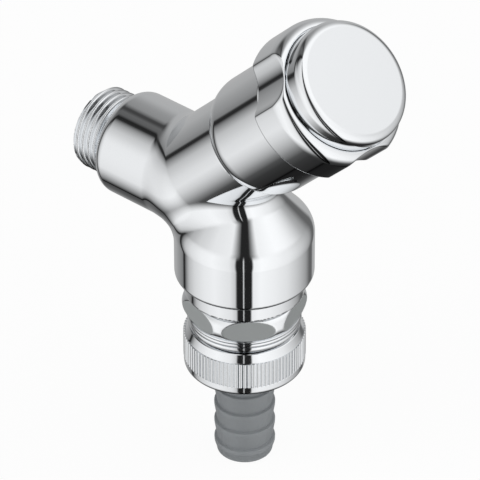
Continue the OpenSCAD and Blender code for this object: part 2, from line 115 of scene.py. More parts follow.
# The sleeve, along the handle axis
SLEEVE_BACK = ARM_END + 0.1
SLEEVE_FRONT = 50.6
SLEEVE_R = 15.15
SLEEVE_BACK_R = 13.55
SLEEVE_BELL = 4.6
SLEEVE_WALL = 1.2
SLEEVE_STEP = 35.5
EDGE_R = 0.6

# The hand wheel and its cap, along the handle axis
WHEEL_BACK = 51.0
WHEEL_R = 18.15
LAND_END = 58.8
WHEEL_FRONT = 62.3
LIP_R = 15.6
CAP_SEAT = 59.9
CAP_SEAT_R = 15.3
CAP_R = 15.2
CAP_FACE = 68.0
CAP_EDGE_R = 2.2
CAP_WALL = 1.2
WEB_BACK = 57.7
HUB_R = 7.4
HUB_FOOT = 50.3
INSERT_R = 5.85
INSERT_TOP = 58.3
SCREW_HOLE_R = 2.3
WHEEL_INNER_R = 13.6
FLUTES = 3
FLUTE_R = 14.0
FLUTE_FLOOR = 15.7
FLUTE_START = math.radians(113)

# The vacuum breaker, heights under the inlet axis
SPIGOT_TOP = -13.8
NECK_R = 13.5
NECK_LEDGE = BARREL_FOOT - 0.3
BREAKER_R = 13.22
COLLAR_R = 15.25
COLLAR_BULGE_R = 3.5
COLLAR_MID = -30.35
COLLAR_APOTHEM = 13.7
COLLAR_FLATS = 6
COLLAR_START = math.radians(15)
LIPS = [(14.0, 0.5), (13.9, 0.9), (13.8, 1.2)]
LIP_GROOVE = 0.2
RELIEF_R = 12.52
RELIEF_H = 1.4
CHAMBER_FOOT = -33.85
BREAKER_BORE_INNER_R = 10.2
NIPPLE_BORE_R = 9.0
NIPPLE_FOOT = -42.4

# The coupling nut and the hose tail
NUT_TOP = node_span("coupling_nut", 2)[1]
NUT_FOOT = node_span("coupling_nut", 2)[0]
NUT_FLOOR = NUT_FOOT + 2.6
NUT_R = 15.0
NUT_BAND_R = 14.9
NUT_ROOT_R = 14.6
NUT_TOP_R = 13.75
NUT_BEVEL_H = 2.0
NUT_FOOT_EDGE_R = 1.2
KNURL_H = 7.0
KNURL_TOP = NUT_TOP - 2.2
TAIL_HEAD_R = 12.6
TAIL_HEAD_TOP = node_span("hose_tail", 2)[1]
TAIL_HEAD_T = 1.9
TAIL_ROOT_R = 7.15
TAIL_BARB_R = 7.55
TAIL_GROOVE_R = 6.85
BARB_EDGE_R = 0.3
RIB_SHARP_DEGREES = 32
TAIL_BORE_R = 5.0
TAIL_FOOT = node_span("hose_tail", 2)[0]
FIRST_BARB = -55.3
BARB_PITCH = 5.5
BARB_RISE = 1.5
BARBS = 4

# The photograph's camera: where it stands, in degrees and mm, and where the picture is centred
IMAGE_SIZE = 480
PIXELS_PER_MM = 4.18
CAMERA_AZIMUTH = math.radians(40.8)
CAMERA_ELEVATION = math.radians(35.8)
CAMERA_ROLL = math.radians(-0.15)
CAMERA_DISTANCE = 1075.0
OUTLET_PIXEL = (244.3, 196.5)
SENSOR = 36.0

# Where each local axis of a turned piece lies: columns are local x, y, z and the origin
COS, SIN = math.cos(TILT), math.sin(TILT)
ON_HANDLE = np.array([[COS, 0, SIN, BRANCH_X], [0, 1, 0, 0], [-SIN, 0, COS, 0]])
ON_OUTLET = np.array([[1, 0, 0, OUTLET_X], [0, 1, 0, 0], [0, 0, 1, 0]])
ON_INLET = np.array([[0, 0, -1, 0], [0, 1, 0, 0], [1, 0, 0, 0]])

COLUMNS = 256
FINE_COLUMNS = 480
EASE_NEAR = 0.12
EASE_LONG = 0.5


def linear(colour):
    """Linear red, green and blue of an sRGB hex colour."""
    parts = [int(colour[i : i + 2], 16) / 255 for i in (1, 3, 5)]
    return tuple(c / 12.92 if c <= 0.04045 else ((c + 0.055) / 1.055) ** 2.4 for c in parts)


def length_property(name, description, default_mm, low_mm, high_mm):
    """A length in metres for the sidebar, given in mm."""
    return FloatProperty(name=name, description=description, default=default_mm * MM,
                         min=low_mm * MM, max=high_mm * MM, unit="LENGTH", precision=5)


def colour_property(name, description, default):
    """A linear colour for the sidebar, given as an sRGB hex value."""
    return FloatVectorProperty(name=name, description=description, subtype="COLOR", size=3,
                               min=0, max=1, default=linear(default))


class TapSizes(bpy.types.PropertyGroup):
    """Sizes of what is finer than the CAD frame holds."""

    cast_step: length_property("Casting mesh step", "Edge length of the mesh of the casting", 0.45, 0.3, 2)
    fillet: length_property("Barrel fillet", "Radius between the arms and the outlet barrel", 4.0, 0.5, 6)
    crotch: length_property("Crotch fillet", "Radius between the inlet arm and the handle arm", 1.6, 0.3, 4)
    thread_pitch: length_property("Thread pitch", "Pitch of the inlet pipe thread", 1.814, 1, 3)
    flute_soft: length_property("Flute arris", "Softness of the edges of the finger flutes", 0.8, 0.1, 2)
    flat_soft: length_property("Collar arris", "Softness of the edges of the spanner flats", 0.22, 0.05, 1)
    ribs: IntProperty(name="Knurl ribs", description="Ribs round the coupling nut",
                      default=88, min=24, max=160)
    rib_radius: length_property("Rib radius", "Radius of one round rib of the knurl", 0.42, 0.1, 0.6)
    mould_line: length_property("Mould line", "Height of the parting lines of the hose tail", 0.05, 0, 0.3)


class TapColours(bpy.types.PropertyGroup):
    """Colours of the finishes, as linear values."""

    chrome: colour_property("Chrome", "Bright chromium plating", "#eef0f2")
    brass: colour_property("Brass", "Bare turned brass", "#d8b46c")
    rubber: colour_property("Rubber", "Black nitrile rubber of the seals", "#1d1e1f")
    steel: colour_property("Steel", "Stainless spring steel", "#c2c4c6")
    acetal: colour_property("Acetal", "White acetal of the check valve", "#ecebe4")
    silicone: colour_property("Silicone", "Soft grey silicone of the vent sleeve", "#5b6166")
    tail: colour_property("Hose tail", "Grey glass-filled nylon of the hose tail", "#969a9d")
    floor: colour_property("Floor", "Pale studio floor", "#ffffff")


def arc(middle_r, middle_z, radius, start, end, steps):
    """Points of an arc, from one angle in degrees to another."""
    return [(middle_r + radius * math.cos(a), middle_z + radius * math.sin(a))
            for a in np.radians(np.linspace(start, end, steps + 1))]


def eased(outline):
    """The outline with points near the ends of its straight stretches, so that they shade straight."""
    points = []
    for (r0, z0), (r1, z1) in zip(outline, outline[1:] + outline[:1]):
        points.append((r0, z0))
        length = math.hypot(r1 - r0, z1 - z0)
        if length > EASE_LONG and max(r0, r1) > 0:
            for k in (EASE_NEAR / length, 1 - EASE_NEAR / length):
                points.append((r0 + (r1 - r0) * k, z0 + (z1 - z0) * k))
    return points


def soft_least(a, b, softness):
    """The smaller of two radii, with the edge between them rounded off."""
    overlap = np.maximum(softness - np.abs(a - b), 0) / softness
    return np.minimum(a, b) - overlap**2 * softness / 4


def link_mesh(name, points_mm, faces, sharp_degrees=32):
    """An object with its faces turned outwards and its shading smooth up to a sharp edge."""
    mesh = bpy.data.meshes.new(name)
    mesh.from_pydata((np.asarray(points_mm) * MM).tolist(), [], faces)
    edit = bmesh.new()
    edit.from_mesh(mesh)
    bmesh.ops.recalc_face_normals(edit, faces=edit.faces)
    edit.to_mesh(mesh)
    edit.free()
    mesh.shade_smooth()
    mesh.set_sharp_from_angle(angle=math.radians(sharp_degrees))
    obj = bpy.data.objects.new(name, mesh)
    bpy.context.scene.collection.objects.link(obj)
    return obj


def skinned(name, rings, place, columns=COLUMNS):
    """A closed mesh through rings of (radius, height): one radius, or one for each column.
    The rings run from pole to pole, where the radius is 0, or round a closed outline."""
    angles = np.arange(columns) * 2 * math.pi / columns
    points, rows = [], []
    for radius, height in rings:
        if np.ndim(radius) == 0 and radius < 1e-6:
            rows.append([len(points)])
            points.append((0.0, 0.0, height))
            continue
        radius = np.broadcast_to(radius, columns)
        rows.append(range(len(points), len(points) + columns))
        points.extend(zip(radius * np.cos(angles), radius * np.sin(angles), np.full(columns, height)))
    poles = len(rows[0]) == 1
    faces = []
    for a, b in zip(rows, rows[1:] if poles else [*rows[1:], rows[0]]):
        for i in range(columns):
            j = (i + 1) % columns
            if len(a) == 1:
                faces.append((a[0], b[j], b[i]))
            elif len(b) == 1:
                faces.append((a[i], a[j], b[0]))
            else:
                faces.append((a[i], a[j], b[j], b[i]))
    placed = np.asarray(points) @ place[:, :3].T + place[:, 3]
    return link_mesh(name, placed, faces)


def seat(obj, body, slot, material, *nodes):
    """Gives a piece its material and its body, and hides the CAD nodes that it stands for. The slot is not
    used.
    """
    obj.data.materials.clear()
    obj.data.materials.append(material)
    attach(obj, body)
    if nodes:
        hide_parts(*nodes)


def joined(a, b, radius):
    """Two solids as one, given as distances, with a fillet between them."""
    corner = np.hypot(np.maximum(radius - a, 0), np.maximum(radius - b, 0))
    return np.maximum(radius, np.minimum(a, b)) - corner


def shared(a, b, radius):
    """What two solids share, with its outer edge rounded."""
    corner = np.hypot(np.maximum(radius + a, 0), np.maximum(radius + b, 0))
    return np.minimum(-radius, np.maximum(a, b)) + corner


def casting_outside(p, fillet, crotch):
    """Distance from the outer skin of the casting, negative inside."""
    x, y, z = np.moveaxis(p, -1, 0)
    across = np.hypot(y, z)
    past_branch = x - BRANCH_X
    inlet_arm = np.where(past_branch < 0, shared(across - ARM_R, -x, SHOULDER_R),
                         np.hypot(past_branch, across) - ARM_R)
    along = past_branch * SIN + z * COS
    beside = np.hypot(past_branch * COS - z * SIN, y)
    handle_arm = np.where(along > 0, beside, np.hypot(along, beside)) - HANDLE_ARM_R
    handle_arm = np.maximum(handle_arm, along - ARM_END)
    out = np.hypot(x - OUTLET_X, y)
    u, w = out - (BARREL_R - DOME_R), z - BARREL_TOP
    cone = u * math.cos(DOME_ANGLE) + w * math.sin(DOME_ANGLE)
    on_cone = w * math.cos(DOME_ANGLE) - u * math.sin(DOME_ANGLE) >= 0
    dome = np.where(w <= 0, u, np.where(on_cone, cone, np.hypot(u, w))) - DOME_R
    barrel = shared(dome, BARREL_EDGE - z, BARREL_EDGE_R)
    outside = joined(joined(inlet_arm, handle_arm, crotch), barrel, fillet)
    outside = np.minimum(outside, np.maximum(out - FOOT_RING_R, z - BARREL_TOP))
    return shared(outside, BARREL_FOOT - z, RIM_EDGE_R)


def casting_ways(p):
    """Distance from the water ways and seats inside the casting, negative in them."""
    x, y, z = np.moveaxis(p, -1, 0)
    along = (x - BRANCH_X) * SIN + z * COS
    beside = np.hypot((x - BRANCH_X) * COS - z * SIN, y)
    out = np.hypot(x - OUTLET_X, y)
    seat_ring = np.maximum(beside - SEAT_PORT_R - SEAT_WALL, along - SEAT_AT)
    ways = [
        np.maximum(np.hypot(y, z) - INLET_BORE_R, x - INLET_BORE_END),
        np.maximum(beside - SEAT_PORT_R, np.maximum(-along, along - SEAT_AT - 1)),
        np.maximum(np.maximum(beside - CHAMBER_R, SEAT_AT - SEAT_LIP - along), -seat_ring),
        np.maximum(beside - HEADWORK_BORE_R, HEADWORK_FOOT - along),
        np.maximum(beside - MOUTH_R, MOUTH_AT - along),
        np.maximum(out - OUTLET_WAY_R, np.maximum(z - OUTLET_WAY_TOP, BREAKER_LEDGE - 1 - z)),
        np.maximum(out - BREAKER_BORE_R, z - BREAKER_LEDGE),
    ]
    return np.minimum.reduce(ways)


def skin_of(field, low, high, step):
    """Points and outward quads where a field is zero: one point for each cell that the surface crosses."""
    axes = [np.arange(a, b, step) for a, b in zip(low, high)]
    value = field(np.stack(np.meshgrid(*axes, indexing="ij"), -1))
    inside = value < 0
    cells = tuple(n - 1 for n in value.shape)
    count = np.zeros(cells)
    total = np.zeros((*cells, 3))
    for axis in range(3):
        for shift_b in (0, 1):
            for shift_c in (0, 1):
                start = [0, 0, 0]
                start[(axis + 1) % 3], start[(axis + 2) % 3] = shift_b, shift_c
                end = list(start)
                end[axis] = 1
                first = value[tuple(slice(s, s + n) for s, n in zip(start, cells))]
                last = value[tuple(slice(s, s + n) for s, n in zip(end, cells))]
                crossed = (first < 0) != (last < 0)
                share = np.where(crossed, first / np.where(crossed, first - last, 1), 0)
                count += crossed
                for k in range(3):
                    total[..., k] += crossed * (share if k == axis else start[k])
    active = count > 0
    number = np.full(cells, -1)
    number[active] = np.arange(active.sum())
    corner = np.argwhere(active)
    points = (corner + total[active] / count[active][:, None]) * step + np.array(low)
    quads = []
    for axis in range(3):
        b, c = (axis + 1) % 3, (axis + 2) % 3
        ahead = np.roll(inside, -1, axis)
        crossed = inside != ahead
        for edge_axis, cut in ((axis, -1), (b, 0), (b, -1), (c, 0), (c, -1)):
            border = [slice(None)] * 3
            border[edge_axis] = cut
            crossed[tuple(border)] = False
        at = np.argwhere(crossed)
        ring = []
        for step_b, step_c in ((-1, -1), (0, -1), (0, 0), (-1, 0)):
            cell = at.copy()
            cell[:, b] += step_b
            cell[:, c] += step_c
            ring.append(number[tuple(cell.T)])
        ring = np.stack(ring, 1)
        outward = inside[tuple(at.T)]
        quads.append(np.where(outward[:, None], ring, ring[:, ::-1]))
    return points, np.concatenate(quads)


def slope_of(field, points, reach=0.02):
    """The field's gradient at points, from its values close by."""
    slope = np.zeros_like(points)
    for k in range(3):
        shift = np.zeros(3)
        shift[k] = reach
        slope[:, k] = (field(points + shift) - field(points - shift)) / (2 * reach)
    return slope


def make_casting(sizes, material):
    """The cast body: two arms and the domed outlet barrel, run together with fillets, with its water ways."""
    fillet, crotch, step = sizes.fillet / MM, sizes.crotch / MM, sizes.cast_step / MM

    def field(p):
        return np.maximum(casting_outside(p, fillet, crotch), -casting_ways(p))

    top = ARM_END * COS + HANDLE_ARM_R * SIN
    low = (-CAST_ROOM, -BARREL_R - CAST_ROOM, BARREL_FOOT - CAST_ROOM)
    high = (OUTLET_X + BARREL_R + CAST_ROOM, BARREL_R + CAST_ROOM, top + CAST_ROOM)
    points, quads = skin_of(field, low, high, step)
    for _ in range(4):
        slope = slope_of(field, points)
        steepness = np.maximum((slope**2).sum(1), 0.2)
        move = -(field(points) / steepness)[:, None] * slope
        points += np.clip(move, -step / 2, step / 2)
    obj = link_mesh("body_casting", points, quads.tolist(), 180)
    slope = slope_of(field, points)
    normals = slope / np.maximum(np.linalg.norm(slope, axis=1), 1e-6)[:, None]
    obj.data.normals_split_custom_set_from_vertices(normals.tolist())
    seat(obj, "tap", "chromed_body", material, "valve_body")


def make_inlet_thread(sizes, material):
    """The inlet's pipe thread: one helical ridge with rounded crests, run out at the shoulder."""
    pitch = sizes.thread_pitch / MM
    angles = np.arange(COLUMNS) * 2 * math.pi / COLUMNS
    middle_r, swing = (THREAD_CREST_R + THREAD_ROOT_R) / 2, (THREAD_CREST_R - THREAD_ROOT_R) / 2
    rings = [(INLET_BORE_R + 0.4, -0.05), (THREAD_ROOT_R, -0.05)]
    for height in np.linspace(0.05, THREAD_END, 96):
        wave = np.cos(2 * math.pi * height / pitch - angles)
        flank = np.sign(wave) * np.abs(wave) ** 0.8
        ridge = middle_r + swing * flank
        start = np.clip(height / THREAD_RUN_OUT, 0, 1)
        ridge = THREAD_ROOT_R + (ridge - THREAD_ROOT_R) * start**2
        chamfer_r = THREAD_CREST_R - max(0.0, height - (THREAD_END - THREAD_CHAMFER))
        rings.append((np.minimum(ridge, chamfer_r), height))
    rings += [(INLET_BORE_R + 0.5, THREAD_END), (INLET_BORE_R, THREAD_END - 0.5),
              (INLET_BORE_R, 0.6), (INLET_BORE_R, 0.1)]
    obj = skinned("inlet_thread", rings, ON_INLET)
    seat(obj, "tap", "chromed_body", material)


def make_sleeve(material):
    """The smooth sleeve over the headwork, with its rounded back end."""
    rise = SLEEVE_R - SLEEVE_BACK_R
    bell_r = (SLEEVE_BELL**2 + rise**2) / (2 * rise)
    bell_end = math.degrees(math.asin(SLEEVE_BELL / bell_r))
    inner_r = SLEEVE_R - SLEEVE_WALL
    outline = [(inner_r - EDGE_R, SLEEVE_BACK)]
    outline += arc(SLEEVE_R - bell_r, SLEEVE_BACK + SLEEVE_BELL, bell_r, -bell_end, 0, 18)
    outline += arc(SLEEVE_R - EDGE_R, SLEEVE_FRONT - EDGE_R, EDGE_R, 0, 90, 8)
    outline += [(inner_r + 0.1, SLEEVE_FRONT), (inner_r, SLEEVE_FRONT - 0.1), (inner_r, SLEEVE_STEP + 1),
                (inner_r - EDGE_R, SLEEVE_STEP)]
    seat(skinned("headwork_sleeve", eased(outline), ON_HANDLE), "tap", "chromed_sleeve", material,
         "bonnet_sleeve")


def nearest_turn(angles, start, count):
    """Angle from the nearest of some evenly spaced places round an axis."""
    pitch = 2 * math.pi / count
    return (angles - start + pitch / 2) % pitch - pitch / 2


def make_hand_wheel(sizes, material):
    """The fluted ring of the hand wheel with its web and hub."""
    soft = sizes.flute_soft / MM
    angles = np.arange(FINE_COLUMNS) * 2 * math.pi / FINE_COLUMNS
    turn = nearest_turn(angles, FLUTE_START, FLUTES)
    reach = FLUTE_FLOOR + FLUTE_R
    room = FLUTE_R**2 - (reach * np.sin(turn)) ** 2
    flute = np.where(room > 0, reach * np.cos(turn) - np.sqrt(np.maximum(room, 0)), 2 * WHEEL_R)
    land = soft_least(np.full(FINE_COLUMNS, WHEEL_R), flute, soft)
    rings = [(WHEEL_INNER_R + k * (land - EDGE_R - WHEEL_INNER_R), WHEEL_BACK)
             for k in (0, 0.05, 0.5, 0.95)]
    rings += [(land - WHEEL_R + r, t)
              for r, t in arc(WHEEL_R - EDGE_R, WHEEL_BACK + EDGE_R, EDGE_R, -90, 0, 8)]
    rings += [(land, t) for t in np.linspace(WHEEL_BACK + EDGE_R + EASE_NEAR, LAND_END - EASE_NEAR, 9)]
    for a in np.linspace(0, math.pi / 2, 25):
        shoulder = LIP_R + (WHEEL_R - LIP_R) * math.cos(a)
        rings.append((soft_least(np.full(FINE_COLUMNS, shoulder), flute, soft),
                      LAND_END + (WHEEL_FRONT - LAND_END) * math.sin(a)))
    inner = [(CAP_SEAT_R, WHEEL_FRONT - 0.25), (CAP_SEAT_R, CAP_SEAT), (SCREW_HOLE_R, CAP_SEAT),
             (SCREW_HOLE_R, INSERT_TOP), (INSERT_R, INSERT_TOP), (INSERT_R, HUB_FOOT), (HUB_R, HUB_FOOT),
             (HUB_R, WEB_BACK), (WHEEL_INNER_R - 1.6, WEB_BACK), (WHEEL_INNER_R, WEB_BACK - 1.6)]
    obj = skinned("hand_wheel_ring", rings + inner, ON_HANDLE, FINE_COLUMNS)
    seat(obj, "handle", "chromed_wheel", material, "hand_wheel")


def make_cap(material):
    """The plain cap on the hand wheel: flat face and rounded edge over a hollow skirt."""
    inner_r, inner_top = CAP_R - CAP_WALL, CAP_FACE - CAP_EDGE_R
    outline = [(0, CAP_FACE)] + arc(CAP_R - CAP_EDGE_R, CAP_FACE - CAP_EDGE_R, CAP_EDGE_R, 90, 0, 20)
    outline += [(CAP_R, CAP_SEAT + 0.1), (inner_r, CAP_SEAT + 0.1), (inner_r, inner_top), (0, inner_top)]
    seat(skinned("hand_wheel_cap", eased(outline), ON_HANDLE), "handle", "chromed_cap", material, "wheel_cap")


def make_breaker(sizes, material, flat_material):
    """The breaker housing: spigot, bulged collar with spanner flats, turned lips, relief and nipple."""
    angles = np.arange(FINE_COLUMNS) * 2 * math.pi / FINE_COLUMNS
    flat = COLLAR_APOTHEM / np.cos(nearest_turn(angles, COLLAR_START, COLLAR_FLATS))
    bulge_end = math.degrees(math.acos(1 - (COLLAR_R - NECK_R) / COLLAR_BULGE_R))
    collar = arc(COLLAR_R - COLLAR_BULGE_R, COLLAR_MID, COLLAR_BULGE_R, bulge_end, -bulge_end, 56)
    rings = eased([(BREAKER_BORE_INNER_R, CHAMBER_FOOT), (BREAKER_BORE_INNER_R, SPIGOT_TOP),
                   (BREAKER_R - 0.8, SPIGOT_TOP), (BREAKER_R, SPIGOT_TOP - 0.8), (BREAKER_R, NECK_LEDGE),
                   (NECK_R, NECK_LEDGE)])[:-2]
    rings += [(soft_least(np.full(FINE_COLUMNS, r), flat, sizes.flat_soft / MM), z) for r, z in collar]
    height = collar[-1][1]
    for i, (lip_r, lip_h) in enumerate(LIPS):
        rings += [(lip_r - 0.2, height), (lip_r - 0.06, height - 0.05), (lip_r, height - 0.15),
                  (lip_r, height - lip_h + 0.15), (lip_r - 0.06, height - lip_h + 0.05),
                  (lip_r - 0.2, height - lip_h)]
        height -= lip_h
        if i < len(LIPS) - 1:
            rings += [(NECK_R, height), (NECK_R, height - LIP_GROOVE)]
            height -= LIP_GROOVE
    rings += [(RELIEF_R, height - 0.1), (RELIEF_R, height - RELIEF_H), (BREAKER_R, height - RELIEF_H - 0.4),
              (BREAKER_R, NIPPLE_FOOT + 0.8), (BREAKER_R - 0.8, NIPPLE_FOOT), (NIPPLE_BORE_R, NIPPLE_FOOT),
              (NIPPLE_BORE_R, CHAMBER_FOOT)]
    obj = skinned("breaker_body", rings, ON_OUTLET, FINE_COLUMNS)
    seat(obj, "tap", "chromed_breaker", material, "breaker_housing")
    obj.data.materials.append(flat_material)
    for face in obj.data.polygons:
        place = np.array(face.center) / MM - (OUTLET_X, 0, 0)
        turn = nearest_turn(math.atan2(place[1], place[0]), COLLAR_START, COLLAR_FLATS)
        on_flat = math.hypot(place[0], place[1]) * math.cos(turn) - COLLAR_APOTHEM
        if abs(place[2] - COLLAR_MID) < NECK_R - RELIEF_R + 2 and -0.03 < on_flat < 0.004:
            face.material_index = 1


def rib_tree(material):
    """Node tree that sets round ribs in a ring and joins them to the mesh that it gets."""
    tree = bpy.data.node_groups.new("knurl_ribs", "GeometryNodeTree")
    tree.interface.new_socket("Mesh", in_out="INPUT", socket_type="NodeSocketGeometry")
    tree.interface.new_socket("Ribs", in_out="INPUT", socket_type="NodeSocketInt")
    for name in ("Circle radius", "Rib radius", "Rib length"):
        tree.interface.new_socket(name, in_out="INPUT", socket_type="NodeSocketFloat")
    tree.interface.new_socket("Middle", in_out="INPUT", socket_type="NodeSocketVector")
    tree.interface.new_socket("Mesh", in_out="OUTPUT", socket_type="NodeSocketGeometry")
    given = add(tree, "NodeGroupInput").outputs
    circle = add(tree, "GeometryNodeMeshCircle", ("Vertices", given["Ribs"]),
                 ("Radius", given["Circle radius"]))
    rib = add(tree, "GeometryNodeMeshCylinder", ("Vertices", 14), ("Radius", given["Rib radius"]),
              ("Depth", given["Rib length"]))
    smooth = add(tree, "GeometryNodeSetShadeSmooth", ("Geometry", rib.outputs["Mesh"]))
    ribs = add(tree, "GeometryNodeInstanceOnPoints", ("Points", circle.outputs["Mesh"]),
               ("Instance", smooth.outputs["Geometry"]))
    placed = add(tree, "GeometryNodeTransform", ("Geometry", ribs.outputs["Instances"]),
                 ("Translation", given["Middle"]))
    together = add(tree, "GeometryNodeJoinGeometry", ("Geometry", placed.outputs["Geometry"]),
                   ("Geometry", given["Mesh"]))
    real = add(tree, "GeometryNodeRealizeInstances", ("Geometry", together.outputs["Geometry"]))
    painted = add(tree, "GeometryNodeSetMaterial", ("Geometry", real.outputs["Geometry"]),
                  ("Material", material))
    add(tree, "NodeGroupOutput", ("Mesh", painted.outputs["Geometry"]))
    return tree


def baked(obj):
    """The object with its modifiers made real and removed."""
    evaluated = obj.evaluated_get(bpy.context.evaluated_depsgraph_get())
    mesh = bpy.data.meshes.new_from_object(evaluated)
    mesh.set_sharp_from_angle(angle=math.radians(RIB_SHARP_DEGREES))
    obj.modifiers.clear()
    obj.data = mesh
    return obj


def make_coupling_nut(sizes, material):
    """The coupling nut with its knurled band of round ribs."""
    knurl_foot = KNURL_TOP - KNURL_H
    outline = [(BREAKER_BORE_R, NUT_FLOOR), (BREAKER_BORE_R, NUT_TOP - 0.3), (BREAKER_BORE_R + 0.25, NUT_TOP)]
    outline += [(NUT_TOP_R - 0.15, NUT_TOP), (NUT_TOP_R, NUT_TOP - 0.1),
                (NUT_ROOT_R - 0.12, NUT_TOP - NUT_BEVEL_H),
                (NUT_ROOT_R, NUT_TOP - NUT_BEVEL_H - 0.15), (NUT_ROOT_R, knurl_foot),
                (NUT_BAND_R - 0.1, knurl_foot), (NUT_BAND_R, knurl_foot - 0.1)]
    outline += arc(NUT_BAND_R - NUT_FOOT_EDGE_R, NUT_FOOT + NUT_FOOT_EDGE_R, NUT_FOOT_EDGE_R, 0, -90, 12)
    outline += [(TAIL_ROOT_R + 0.45, NUT_FOOT), (TAIL_ROOT_R + 0.35, NUT_FOOT + 0.1),
                (TAIL_ROOT_R + 0.35, NUT_FLOOR)]
    obj = skinned("knurled_nut", eased(outline), ON_OUTLET)
    tree = rib_tree(material)
    modifier = obj.modifiers.new("knurl", "NODES")
    modifier.node_group = tree
    values = {"Ribs": sizes.ribs, "Circle radius": NUT_R * MM - sizes.rib_radius,
              "Rib radius": sizes.rib_radius,
              "Rib length": KNURL_H * MM,
              "Middle": (OUTLET_X * MM, 0.0, (KNURL_TOP - KNURL_H / 2) * MM)}
    for item in tree.interface.items_tree:
        if item.in_out == "INPUT" and item.name in values:
            modifier[item.identifier] = values[item.name]
    seat(baked(obj), "nut", "chromed_nut", material, "coupling_nut")


def make_hose_tail(sizes, material):
    """The moulded hose tail: flange under the nut, plain neck, four barbs and parting lines."""
    angles = np.arange(COLUMNS) * 2 * math.pi / COLUMNS
    turn = nearest_turn(angles, 0.0, 2)
    parting = sizes.mould_line / MM * np.exp(-((turn * TAIL_ROOT_R / 0.22) ** 2))
    outline = [(TAIL_BORE_R, TAIL_HEAD_TOP), (TAIL_HEAD_R, TAIL_HEAD_TOP),
               (TAIL_HEAD_R, TAIL_HEAD_TOP - TAIL_HEAD_T),
               (TAIL_ROOT_R, TAIL_HEAD_TOP - TAIL_HEAD_T), (TAIL_ROOT_R, NUT_FOOT),
               (TAIL_ROOT_R - 0.1, FIRST_BARB + 1)]
    for i in range(BARBS):
        top, next_top = FIRST_BARB - i * BARB_PITCH, FIRST_BARB - (i + 1) * BARB_PITCH
        outline += [(TAIL_GROOVE_R, top + 0.15), (TAIL_GROOVE_R, top - 0.15)]
        outline += arc(TAIL_BARB_R - BARB_EDGE_R, top - 0.3 - BARB_EDGE_R, BARB_EDGE_R, 90, 0, 6)
        outline += [(TAIL_BARB_R - 0.04, top - BARB_RISE),
                    (TAIL_GROOVE_R + 0.16, max(next_top + 0.8, TAIL_FOOT + 1))]
    outline += arc(TAIL_ROOT_R - 0.7, TAIL_FOOT + 0.5, 0.5, 0, -90, 6)
    outline += [(TAIL_BORE_R + 0.3, TAIL_FOOT), (TAIL_BORE_R, TAIL_FOOT + 0.3)]
    rings = [(r + parting if r > TAIL_ROOT_R - 0.8 and z < NUT_FOOT else r, z) for r, z in eased(outline)]
    seat(skinned("barbed_tail", rings, ON_OUTLET), "union", "grey_plastic", material, "hose_tail")


def add(tree, kind, *links, **settings):
    """Adds a node. Each link is an input and what feeds it: a value, or another node's output."""
    node = tree.nodes.new(kind)
    for key, value in settings.items():
        setattr(node, key, value)
    for socket, source in links:
        if isinstance(source, bpy.types.NodeSocket):
            tree.links.new(source, node.inputs[socket])
        else:
            node.inputs[socket].default_value = source
    return node


def mixed(tree, factor, first, second, blend="MIX"):
    """Two colours mixed. A factor or a colour is a value or another node's output."""
    node = add(tree, "ShaderNodeMix", ("Factor", factor), data_type="RGBA", blend_type=blend)
    for socket, source in (("A", first), ("B", second)):
        place = next(i for i in node.inputs if i.name == socket and i.type == "RGBA")
        if isinstance(source, bpy.types.NodeSocket):
            tree.links.new(source, place)
        else:
            place.default_value = (*source, 1)
    return next(o for o in node.outputs if o.type == "RGBA")


def surface(name, colour, metallic, grain_mm, rough, bump_mm, mottle=0.0, **sockets):
    """A surface with a fine grain: the grain sways its roughness, its height and, with mottle, its colour.
    rough is the lowest and the highest roughness, and sockets are other inputs of the shader."""
    material = bpy.data.materials.new(name)
    material.use_nodes = True
    tree = material.node_tree
    shader = tree.nodes["Principled BSDF"]
    shader.inputs["Base Color"].default_value = (*colour, 1)
    shader.inputs["Metallic"].default_value = metallic
    for socket, value in sockets.items():
        shader.inputs[socket.replace("_", " ")].default_value = value
    place = add(tree, "ShaderNodeTexCoord").outputs["Object"]
    grain = add(tree, "ShaderNodeTexNoise", ("Vector", place), ("Scale", 1 / (grain_mm * MM)),
                ("Detail", 3.0), ("Roughness", 0.55))
    spread = add(tree, "ShaderNodeMapRange", ("Value", grain.outputs["Fac"]), ("From Min", 0.3),
                 ("From Max", 0.7), ("To Min", rough[0]), ("To Max", rough[1]))
    tree.links.new(spread.outputs["Result"], shader.inputs["Roughness"])
    bump = add(tree, "ShaderNodeBump", ("Height", grain.outputs["Fac"]), ("Distance", bump_mm * MM),
               ("Strength", 1.0))
    tree.links.new(bump.outputs["Normal"], shader.inputs["Normal"])
    if mottle:
        tone = mixed(tree, grain.outputs["Fac"], [c * (1 - mottle) for c in colour], colour)
        tree.links.new(tone, shader.inputs["Base Color"])
    return material


def chrome(name, grain_mm, rough, bump_mm):
    """Bright chromium on polished brass: a clear mirror that the polishing leaves slightly wavy."""
    colour = tuple(bpy.context.scene.tap_colours.chrome)
    return surface(name, colour, 1.0, grain_mm, rough, bump_mm)


class TapMaker:
    """What the operators share."""

    bl_options = {"REGISTER", "UNDO"}

    def execute(self, context):
        """Makes the pieces from the sizes and colours of the scene."""
        self.make(context.scene.tap_sizes, context.scene.tap_colours)
        return {"FINISHED"}


class TAP_OT_casting(TapMaker, bpy.types.Operator):
    """Make the cast body with its threaded inlet"""

    bl_idname = "tap.casting"
    bl_label = "Casting and inlet thread"

    def make(self, sizes, colours):
        """Cast brass, ground and plated: the mirror is a little wavier than on turned pieces."""
        make_casting(sizes, chrome("chromed_cast_brass", 6.0, (0.035, 0.06), 0.002))
        make_inlet_thread(sizes, chrome("chromed_cut_thread", 1.5, (0.08, 0.16), 0.004))


